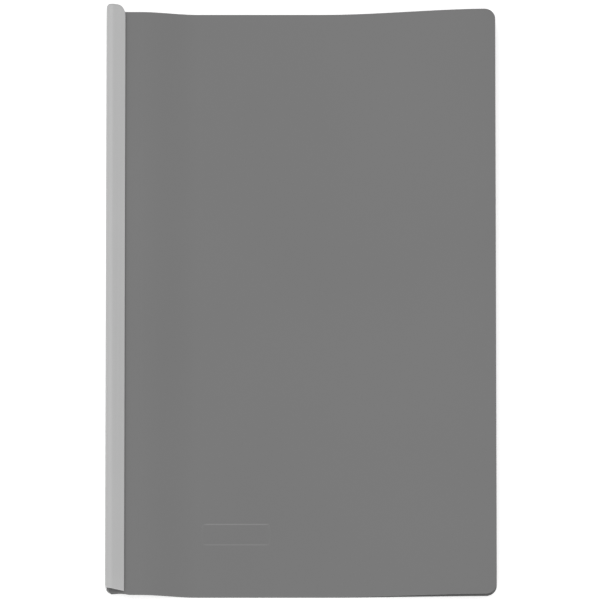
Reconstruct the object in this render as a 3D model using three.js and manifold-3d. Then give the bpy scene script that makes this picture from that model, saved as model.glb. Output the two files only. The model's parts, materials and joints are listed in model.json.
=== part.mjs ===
// Slide-bar report cover, lying closed on its back cover, in millimetres with +Z up.
// One polypropylene sheet is folded in half. A plastic bar with a drop-shaped section is slid
// over the fold and holds loose papers between the two covers.
// The sheet bends at a scored line on each side of the bar, and the covers swing there.

import * as THREE from "three";
import { mergeVertices } from "three/addons/utils/BufferGeometryUtils.js";
import Module from "manifold-3d";

const wasm = await Module();
wasm.setup();

// Slide bar
const barWidth = 11.2;
const barThickness = 10;
const barWall = 1.1;
const barPastCovers = 3.9;
const spineRadius = 3.2;
const lipEdge = 1.2;
const lipRadius = 0.45;
const lipRun = 1.9;
const lipRamp = 0.5;
const leadInX = 4.4;
const leadInY = 6.9;
const noseRun = 1.9;
const noseDrop = 0.8;
const barCornerRadius = 2;
const barEndSkew = 0.5;

// Folded sheet
const sheetThickness = 0.4;
const coverLength = 368;
const coverReach = 217.4;
const coverCornerRadius = 6.4;
const coversPastBar = 2;
const foldBulge = 2.4;
const foldStraightRun = 3.5;
const foldChamferX = 1.4;
const foldChamferY = 2.2;

// Scored lines, where the covers bend
const creaseDistance = 8.9;
const creaseGap = 0.3;

// Lie of the covers
const descentLength = 34;
const liftStart = 115;
const frontLiftTop = 9.8;
const frontLiftBottom = 6.1;
const backLift = 2.8;

// Embossed label frame on the front cover
const labelInset = 44.8;
const labelAboveEdge = 33.2;
const labelWidth = 41;
const labelHeight = 13.9;
const labelCornerRadius = 2.4;
const rimWidth = 0.9;
const rimHeight = 0.15;

// Clearances
const leafGap = 0.3;
const lipClearance = 0.3;
const foldClearance = 0.5;

// Fineness of the faceted curves
const arcSegments = 4;
const foldSegments = 14;
const descentSegments = 9;
const liftSegments = 12;
const cornerSegments = 6;
const lengthSegments = 6;

// Derived heights and places. x runs from the bar's back, y from the covers' middle.
const barMid = barThickness / 2;
const slit = 2 * sheetThickness + leafGap + 2 * lipClearance;
const lipTip = barWidth - lipRun;
const barTop = coverLength / 2 + barPastCovers;
const barBottom = -coverLength / 2 + coversPastBar;
const leafOffset = (leafGap + sheetThickness) / 2;
const foldNose = barWall + foldClearance + sheetThickness / 2;
const foldStart = lipTip - lipClearance;
const crease = barWidth + creaseDistance;
const coverStart = crease + creaseGap / 2;
const foreEdge = barWidth + coverReach;
const backRest = sheetThickness / 2;
const frontRest = backRest + sheetThickness + leafGap;

function plastic(color, roughness) {
  return new THREE.MeshStandardMaterial({ color, roughness, metalness: 0, flatShading: true });
}

function toSolid(geometry) {
  const bare = geometry.clone();
  bare.deleteAttribute("normal");
  bare.deleteAttribute("uv");
  const merged = mergeVertices(bare, 1e-5);
  const vertProperties = new Float32Array(merged.attributes.position.array);
  const triVerts = new Uint32Array(merged.index.array);
  return new wasm.Manifold(new wasm.Mesh({ numProp: 3, vertProperties, triVerts }));
}

function toGeometry(solid) {
  const mesh = solid.getMesh();
  const geometry = new THREE.BufferGeometry();
  geometry.setAttribute("position", new THREE.BufferAttribute(mesh.vertProperties, 3));
  geometry.setIndex(new THREE.BufferAttribute(mesh.triVerts, 1));
  geometry.computeVertexNormals();
  return geometry;
}

// Extrudes an outline drawn in x and z along y, from low to high.
function alongLength(outline, low, high) {
  const geometry = new THREE.ExtrudeGeometry(outline, {
    depth: high - low,
    bevelEnabled: false,
    curveSegments: arcSegments,
  });
  geometry.rotateX(Math.PI / 2);
  geometry.translate(0, high, 0);
  return geometry;
}

// Extrudes an outline drawn in x and y upwards, from low to high.
function upwards(outline, low, high) {
  const geometry = new THREE.ExtrudeGeometry(outline, {
    depth: high - low,
    bevelEnabled: false,
    curveSegments: arcSegments,
  });
  geometry.translate(0, 0, low);
  return geometry;
}

// The bar's section, shaped like a drop with an open point: a rounded back, and two flat sides
// that close in on the sheet and end in lips thickened inwards.
function barSection() {
  const spine = barMid - spineRadius;
  const inside = spineRadius - barWall;
  const edgeX = barWidth - lipRadius;
  const edge = slit / 2 + lipEdge - lipRadius;
  const run = edgeX - spineRadius;
  const rise = edge - spine;
  // The direction that a side faces, so that it touches both the back's curve and the lip's.
  const side = Math.atan2(rise, run) + Math.acos((spineRadius - lipRadius) / Math.hypot(run, rise));
  const ledge = spine + (inside + (spineRadius - lipTip) * Math.cos(side)) / Math.sin(side);
  const shape = new THREE.Shape();
  shape.moveTo(lipTip + lipRamp, barMid - slit / 2);
  shape.lineTo(barWidth, barMid - slit / 2);
  shape.absarc(edgeX, barMid - edge, lipRadius, 0, -side, true);
  shape.absarc(spineRadius, barMid - spine, spineRadius, -side, -Math.PI, true);
  shape.absarc(spineRadius, barMid + spine, spineRadius, Math.PI, side, true);
  shape.absarc(edgeX, barMid + edge, lipRadius, side, 0, true);
  shape.lineTo(barWidth, barMid + slit / 2);
  shape.lineTo(lipTip + lipRamp, barMid + slit / 2);
  shape.lineTo(lipTip, barMid + ledge);
  shape.absarc(spineRadius, barMid + spine, inside, side, Math.PI, false);
  shape.absarc(spineRadius, barMid - spine, inside, -Math.PI, -side, false);
  shape.lineTo(lipTip, barMid - ledge);
  return shape;
}

// The bar seen from above: a rounded lead-in at the mouth's top end, and a skewed bottom end.
function barPlan() {
  const shape = new THREE.Shape();
  shape.moveTo(barWidth, barBottom);
  shape.lineTo(barWidth, barTop - leadInY);
  shape.absellipse(barWidth - leadInX, barTop - leadInY, leadInX, leadInY, 0, Math.PI / 2, false, 0);
  shape.lineTo(barCornerRadius, barTop);
  shape.absarc(barCornerRadius, barTop - barCornerRadius, barCornerRadius, Math.PI / 2, Math.PI, false);
  shape.lineTo(0, barBottom + barEndSkew + barCornerRadius);
  shape.quadraticCurveTo(0, barBottom + barEndSkew, barCornerRadius, barBottom + barEndSkew);
  shape.lineTo(barWidth, barBottom);
  return shape;
}

// The bar seen from its mouth: square at the bottom end, thinned to a nose at the top end.
function barNose() {
  const margin = barWall;
  const outline = new THREE.Shape([
    new THREE.Vector2(barBottom - margin, 0),
    new THREE.Vector2(barTop - noseRun, 0),
    new THREE.Vector2(barTop, noseDrop),
    new THREE.Vector2(barTop, barThickness - noseDrop),
    new THREE.Vector2(barTop - noseRun, barThickness),
    new THREE.Vector2(barBottom - margin, barThickness),
  ]);
  const geometry = new THREE.ExtrudeGeometry(outline, {
    depth: barWidth + 2 * margin,
    bevelEnabled: false,
  });
  geometry.rotateX(Math.PI / 2);
  geometry.rotateZ(Math.PI / 2);
  geometry.translate(-margin, 0, 0);
  return geometry;
}

function slideBar() {
  const profile = toSolid(alongLength(barSection(), barBottom, barTop));
  const plan = toSolid(upwards(barPlan(), -barWall, barThickness + barWall));
  return toGeometry(profile.intersect(plan).intersect(toSolid(barNose())));
}

// The middle of the sheet in the folded strip, from the upper scored line round to the lower one.
function foldLine() {
  const end = crease - creaseGap / 2;
  const nose = new THREE.CubicBezierCurve(
    new THREE.Vector2(foldStart, leafOffset),
    new THREE.Vector2(foldStart - foldStraightRun, leafOffset),
    new THREE.Vector2(foldNose, foldBulge),
    new THREE.Vector2(foldNose, 0),
  );
  const upper = [new THREE.Vector2(end, leafOffset), ...nose.getPoints(foldSegments)];
  const lower = upper.slice(0, -1).reverse().map((p) => new THREE.Vector2(p.x, -p.y));
  return [...upper, ...lower];
}

// Gives a line the sheet's thickness, half on each side.
function thicken(line, thickness) {
  const side = (sign) => line.map((point, i) => {
    const before = line[Math.max(i - 1, 0)];
    const after = line[Math.min(i + 1, line.length - 1)];
    const along = after.clone().sub(before).normalize();
    return new THREE.Vector2(-along.y, along.x).multiplyScalar((sign * thickness) / 2).add(point);
  });
  return new THREE.Shape([...side(1), ...side(-1).reverse()]);
}

function spineFold() {
  const half = coverLength / 2;
  const spine = foldNose - sheetThickness / 2;
  const reach = crease + creaseGap;
  const plan = new THREE.Shape([
    new THREE.Vector2(reach, -half),
    new THREE.Vector2(reach, half),
    new THREE.Vector2(spine + foldChamferX, half),
    new THREE.Vector2(spine, half - foldChamferY),
    new THREE.Vector2(spine - foldClearance, half - foldChamferY),
    new THREE.Vector2(spine - foldClearance, foldChamferY - half),
    new THREE.Vector2(spine, foldChamferY - half),
    new THREE.Vector2(spine + foldChamferX, -half),
  ]);
  const strip = alongLength(thicken(foldLine(), sheetThickness), -half, half);
  strip.translate(0, 0, barMid);
  return toGeometry(toSolid(strip).intersect(toSolid(upwards(plan, 0, barThickness))));
}

function spread(low, high, count) {
  return Array.from({ length: count }, (_, i) => low + ((high - low) * (i + 1)) / count);
}

// Columns of a cover from its scored line to its fore-edge, each with the half length it has there.
function coverColumns() {
  const half = coverLength / 2;
  const cornerStart = foreEdge - coverCornerRadius;
  const straight = [
    coverStart,
    ...spread(coverStart, coverStart + descentLength, descentSegments),
    ...spread(barWidth + liftStart, cornerStart, liftSegments),
  ].map((x) => ({ x, half }));
  const corner = spread(0, Math.PI / 2, cornerSegments).map((turn) => ({
    x: cornerStart + coverCornerRadius * Math.sin(turn),
    half: half - coverCornerRadius * (1 - Math.cos(turn)),
  }));
  return [...straight, ...corner];
}

// A closed sheet through the columns, its middle at the height that the function gives.
function sheet(columns, height) {
  const rows = lengthSegments + 1;
  const position = [];
  const index = [];
  for (const side of [-1, 1]) {
    for (const column of columns) {
      for (let row = 0; row < rows; row += 1) {
        const y = column.half * ((2 * row) / lengthSegments - 1);
        position.push(column.x, y, height(column.x, y) + (side * sheetThickness) / 2);
      }
    }
  }
  const layer = columns.length * rows;
  const quad = (a, b, c, d) => index.push(a, b, c, a, c, d);
  for (let i = 0; i + 1 < columns.length; i += 1) {
    for (let row = 0; row + 1 < rows; row += 1) {
      const corner = i * rows + row;
      quad(corner, corner + 1, corner + rows + 1, corner + rows);
      quad(layer + corner, layer + corner + rows, layer + corner + rows + 1, layer + corner + 1);
    }
  }
  const outline = [
    ...columns.map((_, i) => i * rows),
    ...spread(0, lengthSegments, lengthSegments).map((row) => (columns.length - 1) * rows + row),
    ...columns.slice(0, -1).map((_, i) => (columns.length - 2 - i) * rows + lengthSegments),
    ...spread(0, lengthSegments, lengthSegments).slice(0, -1).map((row) => lengthSegments - row),
  ];
  outline.forEach((a, i) => {
    const b = outline[(i + 1) % outline.length];
    quad(a, b, layer + b, layer + a);
  });
  const geometry = new THREE.BufferGeometry();
  geometry.setAttribute("position", new THREE.Float32BufferAttribute(position, 3));
  geometry.setIndex(index);
  geometry.computeVertexNormals();
  return geometry;
}

// The height of a cover's middle: level at the scored line, then down to where it rests.
function descent(x, start, rest) {
  return start + (rest - start) * THREE.MathUtils.smoothstep(x, coverStart, coverStart + descentLength);
}

// Both covers warp upwards towards their fore-edges, the front one most, at its top corner.
function warp(x) {
  return THREE.MathUtils.smoothstep(x, barWidth + liftStart, foreEdge);
}

function backHeight(x) {
  return descent(x, barMid - leafOffset, backRest) + backLift * warp(x);
}

function frontHeight(x, y) {
  const lift = THREE.MathUtils.lerp(frontLiftBottom, frontLiftTop, y / coverLength + 0.5);
  return descent(x, barMid + leafOffset, frontRest) + lift * warp(x);
}

function roundedRectangle(Path, left, bottom, width, height, radius) {
  const right = left + width;
  const top = bottom + height;
  const path = new Path();
  path.moveTo(left + radius, bottom);
  path.lineTo(right - radius, bottom);
  path.absarc(right - radius, bottom + radius, radius, -Math.PI / 2, 0, false);
  path.lineTo(right, top - radius);
  path.absarc(right - radius, top - radius, radius, 0, Math.PI / 2, false);
  path.lineTo(left + radius, top);
  path.absarc(left + radius, top - radius, radius, Math.PI / 2, Math.PI, false);
  path.lineTo(left, bottom + radius);
  path.absarc(left + radius, bottom + radius, radius, Math.PI, 1.5 * Math.PI, false);
  return path;
}

// The raised rim round the label's place.
function labelRim() {
  const left = barWidth + labelInset;
  const bottom = labelAboveEdge - coverLength / 2;
  const rim = roundedRectangle(THREE.Shape, left, bottom, labelWidth, labelHeight, labelCornerRadius);
  rim.holes.push(
    roundedRectangle(
      THREE.Path,
      left + rimWidth,
      bottom + rimWidth,
      labelWidth - 2 * rimWidth,
      labelHeight - 2 * rimWidth,
      labelCornerRadius - rimWidth,
    ),
  );
  return upwards(rim, frontRest, frontRest + sheetThickness / 2 + rimHeight);
}

function frontCover() {
  return toGeometry(toSolid(sheet(coverColumns(), frontHeight)).add(toSolid(labelRim())));
}

function backCover() {
  return sheet(coverColumns(), backHeight);
}

const coverGrey = 0x7a7a7a;
const barGrey = 0xb8b8b8;

const folder = new THREE.Group();

function addPiece(name, geometry, material) {
  const mesh = new THREE.Mesh(geometry, material);
  mesh.name = name;
  folder.add(mesh);
}

addPiece("slide_bar", slideBar(), plastic(barGrey, 0.35));
addPiece("spine_fold", spineFold(), plastic(coverGrey, 0.5));
addPiece("front_cover", frontCover(), plastic(coverGrey, 0.5));
addPiece("back_cover", backCover(), plastic(coverGrey, 0.5));

// The origin is under the middle of the whole outline.
folder.position.set(-foreEdge / 2, -barPastCovers / 2, 0);

export default folder;
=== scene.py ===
import json
import math

import bmesh
import bpy
import numpy as np
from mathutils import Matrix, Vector
from mathutils.geometry import tessellate_polygon


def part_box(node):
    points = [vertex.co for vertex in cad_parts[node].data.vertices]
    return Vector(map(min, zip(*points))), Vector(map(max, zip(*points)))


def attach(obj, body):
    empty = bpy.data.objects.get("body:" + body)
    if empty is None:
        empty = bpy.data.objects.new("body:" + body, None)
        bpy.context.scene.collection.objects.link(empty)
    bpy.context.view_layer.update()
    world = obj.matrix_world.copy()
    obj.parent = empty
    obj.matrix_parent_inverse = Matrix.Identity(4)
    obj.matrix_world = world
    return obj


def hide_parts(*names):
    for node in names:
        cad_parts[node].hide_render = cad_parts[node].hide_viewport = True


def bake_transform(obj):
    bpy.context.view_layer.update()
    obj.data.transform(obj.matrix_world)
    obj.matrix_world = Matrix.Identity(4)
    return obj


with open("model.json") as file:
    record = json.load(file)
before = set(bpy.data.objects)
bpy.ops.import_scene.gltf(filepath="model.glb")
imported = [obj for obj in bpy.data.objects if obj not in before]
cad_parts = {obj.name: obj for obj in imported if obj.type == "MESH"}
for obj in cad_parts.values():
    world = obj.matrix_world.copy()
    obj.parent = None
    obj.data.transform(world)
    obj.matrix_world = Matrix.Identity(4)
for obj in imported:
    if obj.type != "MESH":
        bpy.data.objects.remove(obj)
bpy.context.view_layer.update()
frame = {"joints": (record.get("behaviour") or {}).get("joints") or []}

# A slide-bar report cover: one grey polypropylene sheet folded in half, held by a light grey bar.
# Lengths are in metres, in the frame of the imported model: x from the bar to the fore-edge,
# y along the fold, z up.

MM = 0.001

bar_low, bar_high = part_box("slide_bar")
fold_low, fold_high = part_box("spine_fold")
_, front_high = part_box("front_cover")
joints = {joint["name"]: joint for joint in frame["joints"]}

# The slide bar's section
BAR_WALL = 1.1 * MM
BAR_SPINE_RADIUS = 3.2 * MM
BAR_SLIT = 1.7 * MM
LIP_EDGE = 1.2 * MM
LIP_RADIUS = 0.45 * MM
LIP_INNER_RADIUS = 0.2 * MM
LIP_RUN = 1.9 * MM
LIP_RAMP = 0.5 * MM
LIP_CLEARANCE = 0.3 * MM

# Its top end: a long rounded lead-in beside the covers, and a nose that drops towards the end
LEAD_IN_X = 4.4 * MM
LEAD_IN_Y = 6.9 * MM
NOSE_RUN = 1.9 * MM
NOSE_DROP = 0.8 * MM
NOSE_POWER = 1.5
BAR_CORNER_RADIUS = 2 * MM

# Its bottom end: cut a little askew, with a rounded corner on the far side from the covers
BAR_CUT_X = 3.2 * MM
BAR_CUT_Y = 4.4 * MM
BAR_END_SKEW = 0.5 * MM

# The rounded edge round both of its ends
BAR_EDGE_RADIUS = 0.3 * MM

# The sheet. The groove along its scored line has a flat floor, given as a share of the width.
SHEET = 0.4 * MM
LEAF_GAP = 0.3 * MM
FOLD_BULGE = 2.4 * MM
FOLD_STRAIGHT_RUN = 3.5 * MM
FOLD_CHAMFER_X = 2.0 * MM
FOLD_CHAMFER_Y = 3.0 * MM
FOLD_TRIM = 0.65 * MM
COVER_CORNER_RADIUS = 6.4 * MM
SCORE_WIDTH = 1.2 * MM
SCORE_DEPTH = 0.04 * MM
SCORE_FLOOR = 0.2
EDGE_RADIUS = 0.13 * MM

# How the covers lie: from the bar down to the ground, flat, then lifted towards the fore-edge
DESCENT = 34 * MM
LIFT_START = 115 * MM
FRONT_LIFT_TOP = 9.8 * MM
FRONT_LIFT_BOTTOM = 6.1 * MM
BACK_LIFT = 2.8 * MM

# The embossed label frame
LABEL_INSET = 44.8 * MM
LABEL_ABOVE_EDGE = 32.3 * MM
LABEL_WIDTH = 41 * MM
LABEL_HEIGHT = 13.9 * MM
LABEL_CORNER_RADIUS = 2.4 * MM
RIM_WIDTH = 1.1 * MM
RIM_HEIGHT = 0.06 * MM

# The rim's painted highlight, a paler grey standing in for the light that the rim catches: how much of
# it the short sides and the lower side keep, and at what share of the half width the long sides start
# to fade
RIM_PAINTED_HIGHLIGHT = 0.075
SHORT_SIDE_SHARE = 0.12
LOWER_SIDE_SHARE = 0.65
FADE_START = 0.85

# How finely the meshes are divided
SHARP_ANGLE = math.radians(30)
ARC_STEPS = 12
BACK_STEPS = 3
SIDE_STEPS = 16
LIP_STEPS = 6
LIP_INNER_STEPS = 4
LIP_FACE_STEPS = 4
LIP_RAMP_STEPS = 2
INSIDE_STEPS = 12
BAR_STEPS = 40
BAR_EDGE_STEPS = 4
NOSE_STEPS = 4
FOLD_STEPS = 24
STRIP_STEPS = 13
SCORE_STEPS = 12
CORNER_STEPS = 12
LENGTH_STEPS = 90
DESCENT_COLUMNS = 40
FLAT_COLUMNS = 40
LIFT_COLUMNS = 60

# Columns or rows that agree in this many decimals are one
COLUMN_DIGITS = 7
ROW_DIGITS = 6

# Where rows and columns cross the label's rim, in rim widths from its crest, and where rows lie
# near the ends of the sheet, in edge radii
RIM_CROSSINGS = (0, 0.15, 0.3, 0.5)
END_CROSSINGS = (0.3, 1)

# Both plastics. Greys are linear, noise scales are in waves a metre, a tone is added to and taken
# from the grey, and a bump is a strength and a distance.
NOISE_RANGE = (0.3, 0.7)
CLOUD_SHARE = 0.015

# The sheet's plastic
SHEET_GREY = 0.192
SHEET_ROUGHNESS = (0.5, 0.6)
SHEET_SPECULAR = 0.35
SHEET_CLOUD_SCALE = 9
SHEET_FINE_SCALE = 2600
SHEET_FINE_BUMP = (0.2, 0.02 * MM)
SHEET_NOISE_DETAIL = 3
GRAIN_PITCH = 0.9 * MM
GRAIN_TONE = 0.0016
GRAIN_BUMP = (0.25, 0.03 * MM)

# The bar's plastic. Its draw lines are noise that is stretched along y.
BAR_GREY = 0.525
BAR_ROUGHNESS = (0.34, 0.44)
BAR_SPECULAR = 0.45
BAR_CLOUD_SCALE = 14
BAR_FINE_SCALE = 1800
BAR_FINE_BUMP = (0.1, 0.01 * MM)
BAR_NOISE_DETAIL = 2
DRAW_SCALE = 900
DRAW_STRETCH = (1, 0.006, 1)
DRAW_TONE = 0.008
DRAW_BUMP = (0.25, 0.03 * MM)

# What the sheet's mesh keeps at its points: its place at rest, and the painted highlight on the
# label's rim
PLACE = "rest_place"
PAINTED_HIGHLIGHT = "label_paleness"

# The floor. Its lift is light that only the camera and reflections see, 1 being white.
FLOOR_REACH = 3.0
FLOOR_TOP = -0.02 * MM
FLOOR_WHITE = 0.9
FLOOR_ROUGHNESS = 0.9
FLOOR_SPECULAR = 0.1
FLOOR_LIFT = 0.5

# The surroundings, as light on the object and as the camera sees them
WORLD_LIGHT = 0.6
WORLD_SEEN = 1.0

# The lamps, which face the middle of the object
LAMP_SIZE = 2.2
KEY_PLACE = (-0.5, 0.95, 1.5)
KEY_POWER = 9.8
FILL_PLACE = (-0.3, -3.2, 1.8)
FILL_POWER = 46

# The photograph's view
PHOTO_PIXELS = 600
PHOTO_METRES_PER_PIXEL = 0.586 * MM
PHOTO_BAR_EDGE_PIXEL = 105.8
CAMERA_TILT = math.radians(22)
CAMERA_DISTANCE = 16.0
CAMERA_SENSOR = 36.0
CAMERA_CLIP_START = 0.1
CAMERA_CLIP_END = 50
AIM_ABOVE_MIDDLE = 3.2 * MM

# Places that follow from the frame. The bar's back touches the ground, so BAR_MID, the height of
# its middle, is also half of the bar's own height.
BAR_MID = (bar_low.z + bar_high.z) / 2
MOUTH = bar_high.x
CREASE = joints["front_cover_hinge"]["pos_m"][0]
FORE_EDGE = front_high.x
CORNER_START = FORE_EDGE - COVER_CORNER_RADIUS
COVER_LOW = fold_low.y
COVER_HIGH = fold_high.y
COVER_MIDDLE = (COVER_LOW + COVER_HIGH) / 2
COVER_HALF = (COVER_HIGH - COVER_LOW) / 2
LEAF_OFFSET = (LEAF_GAP + SHEET) / 2
BACK_REST = SHEET / 2
FRONT_REST = BACK_REST + SHEET + LEAF_GAP
LIP_TIP = MOUTH - LIP_RUN
FOLD_NOSE = fold_low.x + SHEET / 2
FOLD_START = LIP_TIP - LIP_CLEARANCE
LABEL_X = MOUTH + LABEL_INSET + LABEL_WIDTH / 2
LABEL_Y = COVER_LOW + LABEL_ABOVE_EDGE + LABEL_HEIGHT / 2
LABEL_HALF_WIDTH = (LABEL_WIDTH - RIM_WIDTH) / 2
LABEL_HALF_HEIGHT = (LABEL_HEIGHT - RIM_WIDTH) / 2


# Curves and meshes in general


def smoothstep(x, low, high):
    """A soft step from 0 at low to 1 at high."""
    t = np.clip((np.asarray(x, float) - low) / (high - low), 0, 1)
    return t * t * (3 - 2 * t)


def corner_loss(past, run, depth):
    """How much a rounded corner takes off, at a distance past its start: a quarter of an ellipse."""
    share = np.clip(past / run, 0, 1)
    return depth * (1 - np.sqrt(1 - share**2))


def mesh_object(name, vertices, faces):
    mesh = bpy.data.meshes.new(name)
    mesh.from_pydata([tuple(map(float, vertex)) for vertex in vertices], [], faces)
    mesh.validate()
    mesh.update()
    piece = bpy.data.objects.new(name, mesh)
    bpy.context.scene.collection.objects.link(piece)
    mesh.shade_smooth()
    mesh.set_sharp_from_angle(angle=SHARP_ANGLE)
    return piece


def closed_object(name, vertices, faces):
    """A mesh object whose faces are all turned outwards."""
    piece = mesh_object(name, vertices, faces)
    work = bmesh.new()
    work.from_mesh(piece.data)
    bmesh.ops.recalc_face_normals(work, faces=work.faces)
    work.to_mesh(piece.data)
    work.free()
    return piece


# The slide bar


def arc(centre_x, centre_z, radius, start, end, steps):
    """Points on an arc. Angles are in degrees."""
    angles = np.radians(np.linspace(start, end, steps + 1))
    return list(zip(centre_x + radius * np.cos(angles), centre_z + radius * np.sin(angles)))


def straight(a, b, steps):
    """Points between a and b, without the ends."""
    shares = [i / steps for i in range(1, steps)]
    return [(a[0] + (b[0] - a[0]) * share, a[1] + (b[1] - a[1]) * share) for share in shares]


def bar_outline():
    """The bar's section: x and the height over the bar's middle, once round."""
    back_x = bar_low.x + BAR_SPINE_RADIUS
    back_z = BAR_MID - BAR_SPINE_RADIUS
    edge_x = MOUTH - LIP_RADIUS
    edge_z = BAR_SLIT / 2 + LIP_EDGE - LIP_RADIUS
    slit_x = MOUTH - LIP_INNER_RADIUS
    slit_z = BAR_SLIT / 2 + LIP_INNER_RADIUS

    # The side is a straight line that touches the round of the back and the round of the lip.
    # It faces this way, and inside it the wall ends on the lip, at the height of the ledge.
    run = edge_x - back_x
    rise = edge_z - back_z
    facing = math.atan2(rise, run) + math.acos((BAR_SPINE_RADIUS - LIP_RADIUS) / math.hypot(run, rise))
    inside = BAR_SPINE_RADIUS - BAR_WALL
    ledge = back_z + (inside + (back_x - LIP_TIP) * math.cos(facing)) / math.sin(facing)
    degrees = math.degrees(facing)

    outer = arc(back_x, back_z, BAR_SPINE_RADIUS, 180, degrees, ARC_STEPS)
    inner = arc(back_x, back_z, inside, degrees, 180, ARC_STEPS)
    lip = arc(edge_x, edge_z, LIP_RADIUS, degrees, 0, LIP_STEPS)
    lip += arc(slit_x, slit_z, LIP_INNER_RADIUS, 0, -90, LIP_INNER_STEPS)
    upper = [(bar_low.x, 0)]
    for steps, stretch in (
        (BACK_STEPS, outer),
        (SIDE_STEPS, lip),
        (LIP_FACE_STEPS, [(LIP_TIP + LIP_RAMP, BAR_SLIT / 2)]),
        (LIP_RAMP_STEPS, [(LIP_TIP, ledge)]),
        (INSIDE_STEPS, inner),
        (BACK_STEPS, [(inner[-1][0], 0)]),
    ):
        upper += straight(upper[-1], stretch[0], steps) + stretch
    return np.array(upper + [(x, -z) for x, z in reversed(upper[1:-1])])


def bar_section(shrink):
    """The outline drawn inwards, into the plastic, by shrink."""
    line = bar_outline()
    along = np.roll(line, -1, axis=0) - np.roll(line, 1, axis=0)
    along /= np.linalg.norm(along, axis=1)[:, None]
    inwards = np.stack([along[:, 1], -along[:, 0]], axis=1)
    return line + inwards * shrink


def bar_ends(x):
    """How far the bar reaches in y at each x: the bottom end and the top end."""
    x = np.clip(x, bar_low.x, bar_high.x)
    top = bar_high.y - corner_loss(x - (bar_high.x - LEAD_IN_X), LEAD_IN_X, LEAD_IN_Y)
    top -= corner_loss(bar_low.x + BAR_CORNER_RADIUS - x, BAR_CORNER_RADIUS, BAR_CORNER_RADIUS)
    skew_run = bar_high.x - bar_low.x - BAR_CORNER_RADIUS
    bottom = bar_low.y + BAR_END_SKEW * np.clip((bar_high.x - x) / skew_run, 0, 1)
    bottom += corner_loss(bar_low.x + BAR_CUT_X - x, BAR_CUT_X, BAR_CUT_Y)
    return bottom, top


def bar_rings():
    """Rings round the bar from its bottom to its top: each a section, and the y of its points."""
    turns = np.linspace(0, math.pi / 2, BAR_EDGE_STEPS + 1)[::-1]
    depths = BAR_EDGE_RADIUS * (1 - np.sin(turns))
    shrinks = BAR_EDGE_RADIUS * (1 - np.cos(turns))
    full = bar_outline()
    bottom, top = bar_ends(full[:, 0])
    start = bottom + BAR_EDGE_RADIUS
    end = top - BAR_EDGE_RADIUS
    nose = end - NOSE_RUN

    rings = []
    for depth, shrink in zip(depths, shrinks):
        section = bar_section(shrink)
        section_bottom, _ = bar_ends(section[:, 0])
        rings.append((section, section_bottom + depth))
    for i in range(1, BAR_STEPS):
        rings.append((full, start + (nose - start) * i / BAR_STEPS))
    for i in range(NOSE_STEPS + 1):
        rings.append((full, nose + (end - nose) * i / NOSE_STEPS))
    for depth, shrink in zip(depths[-2::-1], shrinks[-2::-1]):
        section = bar_section(shrink)
        _, section_top = bar_ends(section[:, 0])
        rings.append((section, section_top - depth))
    return rings


def make_bar():
    rings = bar_rings()
    vertices = []
    for section, y in rings:
        _, top = bar_ends(section[:, 0])
        into_nose = np.clip(1 - (top - y) / NOSE_RUN, 0, 1)
        squeeze = 1 - (NOSE_DROP / BAR_MID) * into_nose**NOSE_POWER
        z = BAR_MID + section[:, 1] * squeeze
        vertices.append(np.stack([section[:, 0], y, z], axis=1))

    outline = bar_outline()
    count = len(outline)
    faces = []
    for ring in range(len(rings) - 1):
        base = ring * count
        for i in range(count):
            j = (i + 1) % count
            faces.append((base + i, base + j, base + count + j, base + count + i))
    cap = tessellate_polygon([[Vector((x, z, 0)) for x, z in outline]])
    last_ring = (len(rings) - 1) * count
    faces += [tuple(triangle) for triangle in cap]
    faces += [tuple(last_ring + i for i in triangle) for triangle in cap]
    return closed_object("bar_extrusion", np.concatenate(vertices), faces)


# The folded sheet. Each half, or leaf, is a grid of columns along y, with rows across them.


def rim_crossings(*crests):
    """Places across the label's rim, round each of its crests."""
    return [
        crest + side * share * RIM_WIDTH
        for crest in crests
        for side in (-1, 1)
        for share in RIM_CROSSINGS
    ]


def cover_columns():
    """x of each column from past the scored line to the fore-edge."""
    descent = CREASE + DESCENT
    lift = MOUTH + LIFT_START
    turns = np.linspace(0, math.pi / 2, CORNER_STEPS + 1)[1:]
    parts = [
        np.linspace(CREASE + SCORE_WIDTH, descent, DESCENT_COLUMNS),
        np.linspace(descent, lift, FLAT_COLUMNS)[1:],
        np.linspace(lift, CORNER_START, LIFT_COLUMNS)[1:],
        CORNER_START + COVER_CORNER_RADIUS * np.sin(turns),
        rim_crossings(LABEL_X - LABEL_HALF_WIDTH, LABEL_X + LABEL_HALF_WIDTH),
    ]
    return np.unique(np.round(np.concatenate(parts), COLUMN_DIGITS))


def length_rows():
    """The place of each row in its column, from -1 at the lower end to 1 at the upper end."""
    rows = list(np.linspace(-1, 1, LENGTH_STEPS + 1))
    for y in rim_crossings(LABEL_Y - LABEL_HALF_HEIGHT, LABEL_Y + LABEL_HALF_HEIGHT):
        rows.append((y - COVER_MIDDLE) / COVER_HALF)
    near_end = [EDGE_RADIUS / COVER_HALF * share for share in END_CROSSINGS]
    rows += [-1 + gap for gap in near_end] + [1 - gap for gap in near_end]
    return np.unique(np.round(rows, ROW_DIGITS))


def fold_middle_line():
    """The middle of the upper leaf inside the bar, from the fold's nose to the lips."""
    points = [
        np.array([FOLD_NOSE, 0.0]),
        np.array([FOLD_NOSE, FOLD_BULGE]),
        np.array([FOLD_START - FOLD_STRAIGHT_RUN, LEAF_OFFSET]),
        np.array([FOLD_START, LEAF_OFFSET]),
    ]
    line = []
    for i in range(FOLD_STEPS + 1):
        t = i / FOLD_STEPS
        weights = ((1 - t) ** 3, 3 * (1 - t) ** 2 * t, 3 * (1 - t) * t**2, t**3)
        line.append(sum(w * p for w, p in zip(weights, points)))
    return np.array(line)


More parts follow.
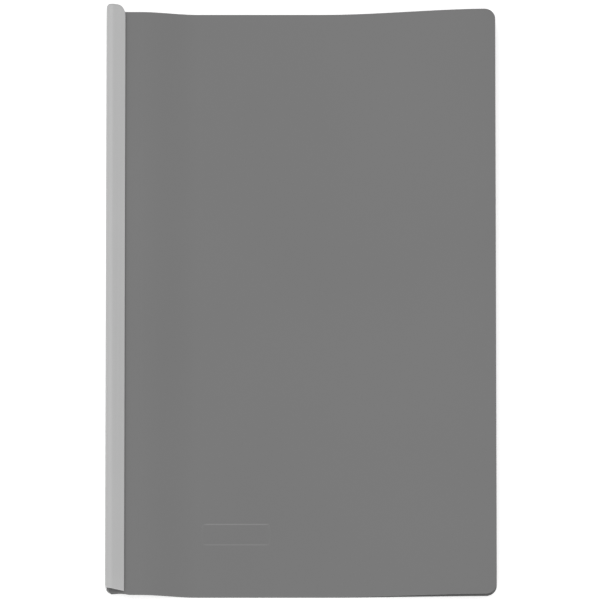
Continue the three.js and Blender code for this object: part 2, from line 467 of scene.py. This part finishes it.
def leaf_columns():
    """The upper leaf's columns: x, height over the bar's middle, and which are in the fold."""
    fold = fold_middle_line()
    strip = np.linspace(FOLD_START, CREASE - SCORE_WIDTH, STRIP_STEPS + 1)[1:]
    score = np.linspace(CREASE - SCORE_WIDTH, CREASE + SCORE_WIDTH, SCORE_STEPS + 1)[1:-1]
    flat = np.concatenate([strip, score, cover_columns()])
    x = np.concatenate([fold[:, 0], flat])
    height = np.concatenate([fold[:, 1], np.full(flat.shape, LEAF_OFFSET)])
    in_fold = np.arange(len(x)) < len(fold)
    return x, height, in_fold


def sheet_normals(x, height, in_fold):
    """The way out of the sheet at each column, in x and z: square to it in the fold, else up."""
    along = np.gradient(np.stack([x, height], axis=1), axis=0)
    along /= np.linalg.norm(along, axis=1)[:, None]
    along[0] = (0, 1)
    along[~in_fold] = (1, 0)
    return np.stack([-along[:, 1], along[:, 0]], axis=1)


def column_reach(x):
    """The middle of each column, and half of its length, in y."""
    half = COVER_HALF - corner_loss(x - CORNER_START, COVER_CORNER_RADIUS, COVER_CORNER_RADIUS)
    half -= FOLD_CHAMFER_Y * np.clip((fold_low.x + FOLD_CHAMFER_X - x) / FOLD_CHAMFER_X, 0, 1)
    trim = FOLD_TRIM * (1 - smoothstep(x, LIP_TIP, (MOUTH + CREASE) / 2))
    return COVER_MIDDLE + trim / 2, half - trim / 2


def leaf_height(x, y, front):
    """The height of the middle of a cover, or of the strip beside it."""
    if front:
        start = BAR_MID + LEAF_OFFSET
        rest = FRONT_REST
        share = (y - COVER_LOW) / (COVER_HIGH - COVER_LOW)
        lift = FRONT_LIFT_BOTTOM + (FRONT_LIFT_TOP - FRONT_LIFT_BOTTOM) * share
    else:
        start = BAR_MID - LEAF_OFFSET
        rest = BACK_REST
        lift = BACK_LIFT
    down = smoothstep(x, CREASE, CREASE + DESCENT)
    return start + (rest - start) * down + lift * smoothstep(x, MOUTH + LIFT_START, FORE_EDGE)


def score_relief(x):
    """The groove that is pressed into the sheet along its scored line."""
    across = np.abs(x - CREASE) / (SCORE_WIDTH / 2)
    return -SCORE_DEPTH * (1 - smoothstep(across, SCORE_FLOOR, 1))


def label_rim(x, y):
    """How far a point is up the embossed rim round the label's place, from 0 to 1."""
    radius = LABEL_CORNER_RADIUS - RIM_WIDTH / 2
    dx = np.abs(x - LABEL_X) - (LABEL_HALF_WIDTH - radius)
    dy = np.abs(y - LABEL_Y) - (LABEL_HALF_HEIGHT - radius)
    outside = np.hypot(np.maximum(dx, 0), np.maximum(dy, 0))
    distance = outside + np.minimum(np.maximum(dx, dy), 0) - radius
    return 1 - smoothstep(np.abs(distance), 0, RIM_WIDTH / 2)


def label_paleness(x, y):
    """The painted highlight on the label's rim, a paler grey where the rim catches the light: most
    along the rim's upper side.
    """
    long_sides = 1 - smoothstep(np.abs(x - LABEL_X), LABEL_HALF_WIDTH * FADE_START, LABEL_HALF_WIDTH)
    upper = smoothstep(y, LABEL_Y - LABEL_HALF_HEIGHT, LABEL_Y + LABEL_HALF_HEIGHT)
    across = SHORT_SIDE_SHARE + (1 - SHORT_SIDE_SHARE) * long_sides
    return label_rim(x, y) * across * (LOWER_SIDE_SHARE + (1 - LOWER_SIDE_SHARE) * upper)


def keep_on_mesh(piece, name, kind, key, values):
    """Stores values at the mesh's points, so that they stay with the sheet when it bends."""
    attribute = piece.data.attributes.new(name, kind, "POINT")
    attribute.data.foreach_set(key, np.asarray(values, np.float32))


def layer_mesh(name, layers):
    """A thin closed piece from the grids of its two faces, joined all round their outline."""
    columns, rows = layers[0].shape[:2]
    size = columns * rows
    vertices = np.concatenate([layer.reshape(-1, 3) for layer in layers])
    faces = []
    for i in range(columns - 1):
        for j in range(rows - 1):
            a = i * rows + j
            faces.append((a, a + rows, a + rows + 1, a + 1))
            faces.append((size + a, size + a + 1, size + a + rows + 1, size + a + rows))
    outline = [i * rows for i in range(columns)]
    outline += [(columns - 1) * rows + j for j in range(1, rows)]
    outline += [i * rows + rows - 1 for i in range(columns - 2, -1, -1)]
    outline += list(range(rows - 2, 0, -1))
    for k, a in enumerate(outline):
        b = outline[(k + 1) % len(outline)]
        faces.append((b, a, size + a, size + b))
    return closed_object(name, vertices, faces)


def make_leaf(name, front):
    """Half of the folded sheet, from the fold's nose inside the bar to the fore-edge."""
    side = 1 if front else -1
    x, fold_height, in_fold = leaf_columns()
    normals = sheet_normals(x, fold_height, in_fold)
    middle, half = column_reach(x)
    rows = length_rows()

    # From here on a line of an array is a column of the sheet, and a place in the line is a row.
    x = x[:, None]
    half = half[:, None]
    y = middle[:, None] + rows * half
    height_in_bar = BAR_MID + side * fold_height[:, None]
    height = np.where(in_fold[:, None], height_in_bar, leaf_height(x, y, front))
    # The front leaf's label rim gets a painted highlight: a paler grey where the rim would catch the
    # light.
    painted_highlight = np.zeros(y.shape)
    if front:
        height += RIM_HEIGHT * label_rim(x, y)
        painted_highlight += label_paleness(x, y)
    from_edge = np.minimum((1 - np.abs(rows)) * half, FORE_EDGE - x)
    thickness = SHEET / 2 - EDGE_RADIUS * np.clip(1 - from_edge / EDGE_RADIUS, 0, 1) ** 2

    layers = []
    for face in (1, -1):
        # The groove is pressed into the face that looks up.
        groove = score_relief(x) if face == side else 0
        offset = face * (thickness + groove)
        out_x = normals[:, :1] * offset
        out_z = side * normals[:, 1:] * offset
        layers.append(np.stack([x + out_x, y, height + out_z], axis=2))
    leaf = layer_mesh(name, layers)
    keep_on_mesh(leaf, PAINTED_HIGHLIGHT, "FLOAT", "value", np.concatenate([painted_highlight.ravel()] * len(layers)))
    keep_on_mesh(leaf, PLACE, "FLOAT_VECTOR", "vector", np.concatenate([g.ravel() for g in layers]))
    return leaf


# Materials


class Nodes:
    """A short way to write a material's nodes."""

    def __init__(self, name):
        self.material = bpy.data.materials.new(name)
        self.material.use_nodes = True
        self.tree = self.material.node_tree
        self.shader = self.tree.nodes["Principled BSDF"]

    def add(self, kind, **values):
        node = self.tree.nodes.new(kind)
        for key, value in values.items():
            setattr(node, key, value)
        return node

    def link(self, source, target):
        self.tree.links.new(source, target)

    def math(self, operation, a, b=0.0):
        node = self.add("ShaderNodeMath", operation=operation)
        for socket, value in zip(node.inputs, (a, b)):
            if isinstance(value, (int, float)):
                socket.default_value = value
            else:
                self.link(value, socket)
        return node.outputs[0]

    def kept(self, name, output):
        """What the mesh keeps at its points under a name."""
        return self.add("ShaderNodeAttribute", attribute_name=name).outputs[output]

    def object_place(self, stretch=None):
        """The place in object space, or a multiple of it in each direction."""
        place = self.add("ShaderNodeTexCoord").outputs["Object"]
        if stretch is None:
            return place
        mapping = self.add("ShaderNodeMapping")
        mapping.inputs["Scale"].default_value = stretch
        self.link(place, mapping.inputs["Vector"])
        return mapping.outputs["Vector"]

    def noise(self, place, scale, detail):
        node = self.add("ShaderNodeTexNoise")
        node.inputs["Scale"].default_value = scale
        node.inputs["Detail"].default_value = detail
        self.link(place, node.inputs["Vector"])
        return node.outputs["Fac"]

    def ramp(self, value, source, target):
        """Maps a range of values, its low and its high end, to another one."""
        node = self.add("ShaderNodeMapRange")
        node.inputs["From Min"].default_value, node.inputs["From Max"].default_value = source
        node.inputs["To Min"].default_value, node.inputs["To Max"].default_value = target
        self.link(value, node.inputs["Value"])
        return node.outputs["Result"]

    def clouded(self, cloud, grey):
        """A grey that is a little darker and lighter in slow clouds."""
        return self.ramp(cloud, NOISE_RANGE, (grey * (1 - CLOUD_SHARE), grey * (1 + CLOUD_SHARE)))

    def bump(self, height, strength, distance, normal=None):
        node = self.add("ShaderNodeBump")
        node.inputs["Strength"].default_value = strength
        node.inputs["Distance"].default_value = distance
        self.link(height, node.inputs["Height"])
        if normal is not None:
            self.link(normal, node.inputs["Normal"])
        return node.outputs["Normal"]

    def plastic(self, grey, roughness, normal, specular):
        """Ends the material as a plastic of one grey value."""
        color = self.add("ShaderNodeCombineColor")
        for channel in ("Red", "Green", "Blue"):
            self.link(grey, color.inputs[channel])
        self.link(color.outputs["Color"], self.shader.inputs["Base Color"])
        self.link(roughness, self.shader.inputs["Roughness"])
        self.link(normal, self.shader.inputs["Normal"])
        self.shader.inputs["Specular IOR Level"].default_value = specular
        return self.material


def crossed_lines(nodes, place):
    """Waves along both diagonals, multiplied, from -1 to 1."""
    split = nodes.add("ShaderNodeSeparateXYZ")
    nodes.link(place, split.inputs["Vector"])
    turns = 2 * math.pi / (GRAIN_PITCH * math.sqrt(2))
    waves = []
    for operation in ("ADD", "SUBTRACT"):
        diagonal = nodes.math(operation, split.outputs["X"], split.outputs["Y"])
        waves.append(nodes.math("SINE", nodes.math("MULTIPLY", diagonal, turns)))
    return nodes.math("MULTIPLY", waves[0], waves[1])


def sheet_material():
    """Matte polypropylene sheet with a fine grain of crossed diagonal lines pressed into it, and a
    painted highlight along the label's rim.
    """
    nodes = Nodes("sheet_polypropylene")
    place = nodes.kept(PLACE, "Vector")
    grain = crossed_lines(nodes, place)
    fine = nodes.noise(place, SHEET_FINE_SCALE, SHEET_NOISE_DETAIL)
    cloud = nodes.noise(place, SHEET_CLOUD_SCALE, SHEET_NOISE_DETAIL)
    grain_tone = nodes.ramp(grain, (-1, 1), (-GRAIN_TONE, GRAIN_TONE))
    # A painted highlight: the label's rim is made paler where it would catch the light.
    rim_highlight_tone = nodes.ramp(nodes.kept(PAINTED_HIGHLIGHT, "Fac"), (0, 1), (0, RIM_PAINTED_HIGHLIGHT))
    grey = nodes.math("ADD", nodes.clouded(cloud, SHEET_GREY), grain_tone)
    grey = nodes.math("ADD", grey, rim_highlight_tone)
    roughness = nodes.ramp(fine, NOISE_RANGE, SHEET_ROUGHNESS)
    normal = nodes.bump(grain, *GRAIN_BUMP)
    normal = nodes.bump(fine, *SHEET_FINE_BUMP, normal)
    return nodes.plastic(grey, roughness, normal, SHEET_SPECULAR)


def bar_material():
    """Satin extruded plastic, with faint draw lines along its length."""
    nodes = Nodes("bar_plastic")
    draw = nodes.noise(nodes.object_place(DRAW_STRETCH), DRAW_SCALE, BAR_NOISE_DETAIL)
    fine = nodes.noise(nodes.object_place(), BAR_FINE_SCALE, BAR_NOISE_DETAIL)
    cloud = nodes.noise(nodes.object_place(), BAR_CLOUD_SCALE, BAR_NOISE_DETAIL)
    draw_tone = nodes.ramp(draw, NOISE_RANGE, (-DRAW_TONE, DRAW_TONE))
    grey = nodes.math("ADD", nodes.clouded(cloud, BAR_GREY), draw_tone)
    roughness = nodes.ramp(fine, NOISE_RANGE, BAR_ROUGHNESS)
    normal = nodes.bump(draw, *DRAW_BUMP)
    normal = nodes.bump(fine, *BAR_FINE_BUMP, normal)
    return nodes.plastic(grey, roughness, normal, BAR_SPECULAR)


def floor_material():
    """Matte white, lifted to plain white for the camera, so that only the shadow shows."""
    nodes = Nodes("studio_floor")
    nodes.shader.inputs["Base Color"].default_value = (FLOOR_WHITE, FLOOR_WHITE, FLOOR_WHITE, 1)
    nodes.shader.inputs["Roughness"].default_value = FLOOR_ROUGHNESS
    nodes.shader.inputs["Specular IOR Level"].default_value = FLOOR_SPECULAR
    nodes.shader.inputs["Emission Color"].default_value = (1, 1, 1, 1)
    path = nodes.add("ShaderNodeLightPath")
    seen = nodes.math("MAXIMUM", path.outputs["Is Camera Ray"], path.outputs["Is Glossy Ray"])
    seen = nodes.math("MAXIMUM", seen, path.outputs["Is Transmission Ray"])
    nodes.link(nodes.math("MULTIPLY", seen, FLOOR_LIFT), nodes.shader.inputs["Emission Strength"])
    return nodes.material


# The scene round the object


def make_floor():
    reach = FLOOR_REACH
    corners = [(-reach, -reach), (reach, -reach), (reach, reach), (-reach, reach)]
    floor = mesh_object("studio_floor", [(x, y, FLOOR_TOP) for x, y in corners], [(0, 1, 2, 3)])
    floor.data.materials.append(floor_material())


def make_world():
    """White surroundings that look brighter to the camera than they light the object."""
    world = bpy.data.worlds.new("studio")
    world.use_nodes = True
    tree = world.node_tree
    background = tree.nodes["Background"]
    background.inputs["Color"].default_value = (1, 1, 1, 1)
    path = tree.nodes.new("ShaderNodeLightPath")
    seen = tree.nodes.new("ShaderNodeMath")
    seen.operation = "MAXIMUM"
    tree.links.new(path.outputs["Is Camera Ray"], seen.inputs[0])
    tree.links.new(path.outputs["Is Transmission Ray"], seen.inputs[1])
    strength = tree.nodes.new("ShaderNodeMapRange")
    strength.inputs["To Min"].default_value = WORLD_LIGHT
    strength.inputs["To Max"].default_value = WORLD_SEEN
    tree.links.new(seen.outputs[0], strength.inputs["Value"])
    tree.links.new(strength.outputs["Result"], background.inputs["Strength"])
    bpy.context.scene.world = world


def make_lamp(name, place, power):
    data = bpy.data.lights.new(name, "AREA")
    data.shape = "SQUARE"
    data.size = LAMP_SIZE
    data.energy = power
    lamp = bpy.data.objects.new(name, data)
    lamp.location = place
    lamp.rotation_mode = "QUATERNION"
    lamp.rotation_quaternion = (-Vector(place)).to_track_quat("-Z", "Y")
    bpy.context.scene.collection.objects.link(lamp)


def make_camera():
    """Looks down on the folder from the photograph's side, so that a pixel is as wide as there."""
    data = bpy.data.cameras.new("camera")
    data.sensor_width = CAMERA_SENSOR
    frame_width = PHOTO_PIXELS * PHOTO_METRES_PER_PIXEL
    data.lens = CAMERA_SENSOR * CAMERA_DISTANCE / frame_width
    data.clip_start = CAMERA_CLIP_START
    data.clip_end = CAMERA_CLIP_END
    camera = bpy.data.objects.new("camera", data)
    half_frame = PHOTO_PIXELS / 2
    aim_x = bar_low.x + (half_frame - PHOTO_BAR_EDGE_PIXEL) * PHOTO_METRES_PER_PIXEL
    aim_y = COVER_MIDDLE + AIM_ABOVE_MIDDLE / math.cos(CAMERA_TILT)
    aim = Vector((aim_x, aim_y, 0))
    back = Vector((0, -math.sin(CAMERA_TILT), math.cos(CAMERA_TILT)))
    camera.location = aim + back * CAMERA_DISTANCE
    camera.rotation_mode = "QUATERNION"
    camera.rotation_quaternion = (-back).to_track_quat("-Z", "Y")
    bpy.context.scene.collection.objects.link(camera)
    bpy.context.scene.camera = camera


def main():
    bpy.context.scene.view_settings.view_transform = "Standard"
    make_camera()
    make_world()
    make_floor()
    make_lamp("key", KEY_PLACE, KEY_POWER)
    make_lamp("fill", FILL_PLACE, FILL_POWER)

    plastic = bar_material()
    film = sheet_material()

    bar = make_bar()
    bar.data.materials.append(plastic)
    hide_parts("slide_bar")
    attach(bar, "bar")

    for name, front, body, nodes in (
        ("front_leaf", True, "front", ("front_cover", "spine_fold")),
        ("back_leaf", False, "back", ("back_cover",)),
    ):
        leaf = make_leaf(name, front)
        leaf.data.materials.append(film)
        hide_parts(*nodes)
        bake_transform(leaf)


main()
